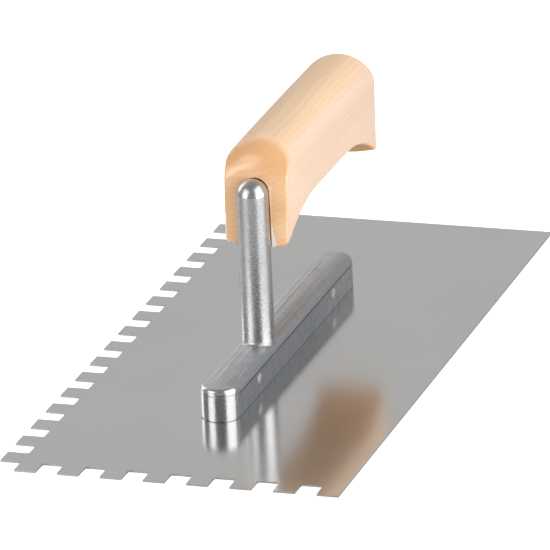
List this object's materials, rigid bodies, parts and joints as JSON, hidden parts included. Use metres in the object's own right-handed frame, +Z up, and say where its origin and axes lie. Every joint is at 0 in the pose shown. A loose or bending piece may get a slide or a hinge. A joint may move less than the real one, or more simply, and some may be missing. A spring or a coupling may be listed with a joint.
{
  "type": "notched trowel",
  "caption": "Square-notch trowel with a rectangular steel blade, a cast mount bar and post, and an open wooden handle.",
  "frame": {"origin": "centre of the blade's bottom face", "axes": "+X along the blade towards the notched short edge, +Y towards the plain long edge, +Z up through the handle"},
  "size_m": [0.28, 0.13, 0.0888],
  "materials": {
    "blade_steel": "satin",
    "cast_metal": "satin",
    "rivet_metal": "satin",
    "handle_wood": "satin",
    "screw_steel": "satin"
  },
  "bodies": {
    "root": {"blade": "blade_steel", "mount": "cast_metal", "rivet_1": "rivet_metal", "rivet_2": "rivet_metal", "rivet_3": "rivet_metal", "rivet_4": "rivet_metal", "rivet_5": "rivet_metal", "rivet_6": "rivet_metal", "rivet_7": "rivet_metal", "handle": "handle_wood", "tie_screw": "screw_steel", "heel_washer": "screw_steel"}
  },
  "joints": []
}
